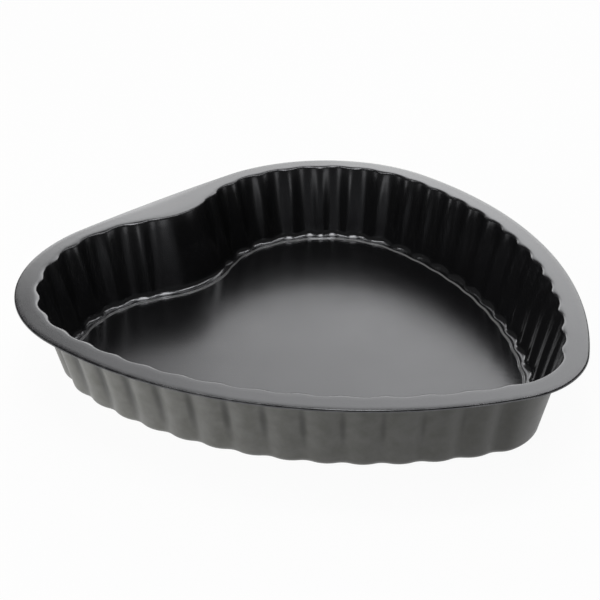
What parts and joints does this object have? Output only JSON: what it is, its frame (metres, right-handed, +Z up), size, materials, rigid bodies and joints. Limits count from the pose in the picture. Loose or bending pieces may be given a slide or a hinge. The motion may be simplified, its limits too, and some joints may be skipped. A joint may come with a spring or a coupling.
{
  "type": "heart cake pan",
  "caption": "Heart-shaped pressed steel cake pan with fluted sloping wall, flat wide rim, ledge and sunk flat floor.",
  "frame": {"origin": "centre of the pan's outline, on the surface that the floor stands on", "axes": "+Z up; +Y from the tip of the heart to its lobes; +X across the lobes"},
  "size_m": [0.26, 0.27, 0.043],
  "materials": {
    "pan": "satin dark non-stick coating on steel sheet"
  },
  "bodies": {
    "root": {"pan": "pan"}
  },
  "joints": []
}
